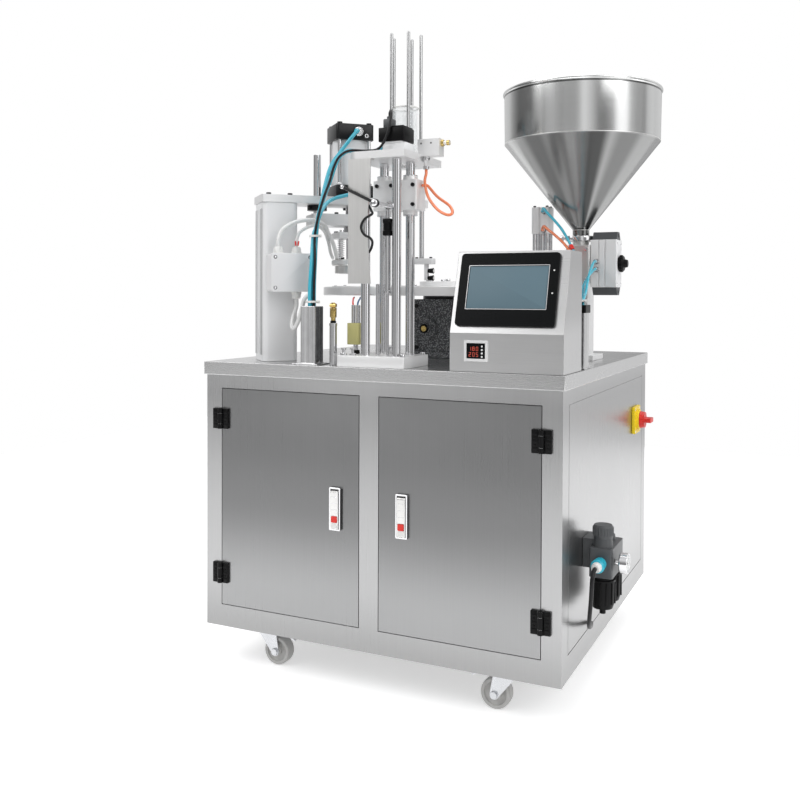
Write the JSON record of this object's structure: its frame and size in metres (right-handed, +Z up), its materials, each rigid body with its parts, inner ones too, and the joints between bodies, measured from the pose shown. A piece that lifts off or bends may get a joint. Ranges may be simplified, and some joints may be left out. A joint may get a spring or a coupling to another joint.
{
  "type": "rotary filling and sealing machine",
  "caption": "Cabinet-mounted rotary cup filling and sealing machine with hopper, metering valve, lid station, heat press and castors.",
  "frame": {"origin": "centre of the box the machine fills, on the floor under its castors", "axes": "+Z up, -Y towards the operator at the doors, +X to the hopper's side"},
  "size_m": [0.9102, 0.82, 1.367],
  "materials": {
    "black_alloy": "black anodised",
    "black_hose": "smooth tube",
    "black_plastic": "fine texture",
    "blue_hose": "smooth tube",
    "bright_steel": "polished",
    "brushed_steel": "brushed",
    "clear_plastic": "clear tube",
    "dark_casting": "hammered paint",
    "deck_steel": "fine brushed",
    "grey_plastic": "moulded",
    "light_alloy": "satin anodised",
    "orange_hose": "smooth tube",
    "red_plastic": "moulded",
    "satin_steel": "satin brushed",
    "teal_plastic": "moulded",
    "white_hose": "smooth tube",
    "white_nylon": "moulded",
    "white_paint": "satin powder coat",
    "yellow_plastic": "moulded",
    "zinc": "bright zinc plate"
  },
  "bodies": {
    "machine": {"air_regulator_body": "grey_plastic", "cabinet_body": "satin_steel", "console_box": "satin_steel", "deck_lid": "deck_steel", "drive_motor": "dark_casting", "filler_harness": "blue_hose", "filling_cylinder": "light_alloy", "filling_stand": "light_alloy", "heater_conduits": "white_hose", "hopper": "bright_steel", "index_drive": "dark_casting", "inlet_coupler": "teal_plastic", "inlet_hose": "black_hose", "isolator_plate": "yellow_plastic", "junction_box": "grey_plastic", "left_hose_duct": "bright_steel", "lid_air_cylinder": "black_plastic", "lid_cover_plate": "brushed_steel", "lid_magazine": "bright_steel", "lid_station_frame": "light_alloy", "lid_top_plate": "light_alloy", "lid_tube": "clear_plastic", "metering_valve": "brushed_steel", "press_cylinder": "black_alloy", "pressure_gauge": "bright_steel", "right_hose_duct": "bright_steel", "rotary_actuator": "light_alloy", "sealer_harness": "blue_hose", "sealing_arm": "light_alloy", "sealing_column": "white_paint", "slider_cylinder": "brushed_steel", "temperature_controller": "light_alloy", "touch_panel": "black_plastic", "vacuum_hose": "orange_hose"},
    "left_door": {"left_door": "satin_steel"},
    "left_latch_lever": {"left_latch_lever": "brushed_steel"},
    "left_latch_button": {"left_latch_button": "red_plastic"},
    "right_door": {"right_door": "satin_steel"},
    "right_latch_lever": {"right_latch_lever": "brushed_steel"},
    "right_latch_button": {"right_latch_button": "red_plastic"},
    "front_left_castor_fork": {"front_left_castor_fork": "zinc"},
    "front_left_castor_wheel": {"front_left_castor_wheel": "white_nylon"},
    "front_left_brake_pedal": {"front_left_brake_pedal": "zinc"},
    "front_right_castor_fork": {"front_right_castor_fork": "zinc"},
    "front_right_castor_wheel": {"front_right_castor_wheel": "white_nylon"},
    "front_right_brake_pedal": {"front_right_brake_pedal": "zinc"},
    "rear_left_castor_fork": {"rear_left_castor_fork": "zinc"},
    "rear_left_castor_wheel": {"rear_left_castor_wheel": "white_nylon"},
    "rear_right_castor_fork": {"rear_right_castor_fork": "zinc"},
    "rear_right_castor_wheel": {"rear_right_castor_wheel": "white_nylon"},
    "isolator_handle": {"isolator_handle": "red_plastic"},
    "regulator_knob": {"regulator_knob": "grey_plastic"},
    "dial": {"dial": "light_alloy"},
    "actuator_knob": {"actuator_knob": "black_plastic"},
    "filling_nozzle": {"filling_nozzle": "bright_steel"},
    "press_head": {"press_head": "light_alloy"},
    "lid_slider": {"lid_slider": "light_alloy"},
    "lid_picker": {"lid_picker": "light_alloy"},
    "slider_link": {"slider_link": "black_alloy"}
  },
  "joints": [
    {"name": "left_door_hinge", "type": "hinge", "parent": "machine", "child": "left_door", "pos_m": [-0.41115, -0.40175, 0.37125], "axis": [0, 0, -1], "range_deg": [0, 110]},
    {"name": "left_latch_swing", "type": "hinge", "parent": "left_door", "child": "left_latch_lever", "pos_m": [-0.12565, -0.39875, 0.4065], "axis": [-1, 0, 0], "range_deg": [0, 35]},
    {"name": "left_latch_press", "type": "slide", "parent": "left_latch_lever", "child": "left_latch_button", "axis": [0, 1, 0], "range_m": [0, 0.0025], "stiffness_N_per_m": 300},
    {"name": "right_door_hinge", "type": "hinge", "parent": "machine", "child": "right_door", "pos_m": [0.31085, -0.40175, 0.37125], "axis": [0, 0, 1], "range_deg": [0, 110]},
    {"name": "right_latch_swing", "type": "hinge", "parent": "right_door", "child": "right_latch_lever", "pos_m": [0.02535, -0.39875, 0.4065], "axis": [-1, 0, 0], "range_deg": [0, 35]},
    {"name": "right_latch_press", "type": "slide", "parent": "right_latch_lever", "child": "right_latch_button", "axis": [0, 1, 0], "range_m": [0, 0.0025], "stiffness_N_per_m": 300},
    {"name": "front_left_castor_swivel", "type": "hinge", "parent": "machine", "child": "front_left_castor_fork", "pos_m": [-0.32515, -0.33075, 0.0837], "axis": [0, 0, 1], "continuous": true},
    {"name": "front_left_castor_roll", "type": "hinge", "parent": "front_left_castor_fork", "child": "front_left_castor_wheel", "pos_m": [-0.30315, -0.33075, 0.031], "axis": [0, 1, 0], "continuous": true},
    {"name": "front_left_brake_press", "type": "hinge", "parent": "front_left_castor_fork", "child": "front_left_brake_pedal", "pos_m": [-0.30665, -0.33075, 0.0668], "axis": [0, 1, 0], "range_deg": [0, 14]},
    {"name": "front_right_castor_swivel", "type": "hinge", "parent": "machine", "child": "front_right_castor_fork", "pos_m": [0.22485, -0.33075, 0.0837], "axis": [0, 0, 1], "continuous": true},
    {"name": "front_right_castor_roll", "type": "hinge", "parent": "front_right_castor_fork", "child": "front_right_castor_wheel", "pos_m": [0.20285, -0.33075, 0.031], "axis": [0, 1, 0], "continuous": true},
    {"name": "front_right_brake_press", "type": "hinge", "parent": "front_right_castor_fork", "child": "front_right_brake_pedal", "pos_m": [0.20635, -0.33075, 0.0668], "axis": [0, -1, 0], "range_deg": [0, 14]},
    {"name": "rear_left_castor_swivel", "type": "hinge", "parent": "machine", "child": "rear_left_castor_fork", "pos_m": [-0.32515, 0.33725, 0.0837], "axis": [0, 0, 1], "continuous": true},
    {"name": "rear_left_castor_roll", "type": "hinge", "parent": "rear_left_castor_fork", "child": "rear_left_castor_wheel", "pos_m": [-0.30315, 0.33725, 0.031], "axis": [0, 1, 0], "continuous": true},
    {"name": "rear_right_castor_swivel", "type": "hinge", "parent": "machine", "child": "rear_right_castor_fork", "pos_m": [0.22485, 0.33725, 0.0837], "axis": [0, 0, 1], "continuous": true},
    {"name": "rear_right_castor_roll", "type": "hinge", "parent": "rear_right_castor_fork", "child": "rear_right_castor_wheel", "pos_m": [0.20285, 0.33725, 0.031], "axis": [0, 1, 0], "continuous": true},
    {"name": "isolator_turn", "type": "hinge", "parent": "machine", "child": "isolator_handle", "pos_m": [0.36445, 0.26425, 0.507], "axis": [1, 0, 0], "range_deg": [0, 90]},
    {"name": "regulator_turn", "type": "hinge", "parent": "machine", "child": "regulator_knob", "pos_m": [0.39085, -0.24575, 0.337], "axis": [0, 0, 1], "range_deg": [-540, 540]},
    {"name": "dial_index", "type": "hinge", "parent": "machine", "child": "dial", "pos_m": [-0.05015, 0.00425, 0.811], "axis": [0, 0, 1], "continuous": true},
    {"name": "actuator_knob_turn", "type": "hinge", "parent": "machine", "child": "actuator_knob", "pos_m": [0.36285, 0.00425, 0.8835], "axis": [1, 0, 0], "range_deg": [-180, 180]},
    {"name": "nozzle_plunge", "type": "slide", "parent": "machine", "child": "filling_nozzle", "axis": [0, 0, -1], "range_m": [0, 0.02]},
    {"name": "press_stroke", "type": "slide", "parent": "machine", "child": "press_head", "axis": [0, 0, -1], "range_m": [0, 0.02]},
    {"name": "lid_slide", "type": "slide", "parent": "machine", "child": "lid_slider", "axis": [0, 0, 1], "range_m": [-0.008, 0.02]},
    {"name": "picker_swing", "type": "hinge", "parent": "lid_slider", "child": "lid_picker", "pos_m": [0.01185, -0.27675, 0.987], "axis": [0, 0, 1], "range_deg": [-60, 60]},
    {"name": "link_swing", "type": "hinge", "parent": "lid_slider", "child": "slider_link", "pos_m": [-0.03115, -0.40925, 0.995], "axis": [0, 1, 0], "range_deg": [-12, 12]}
  ]
}
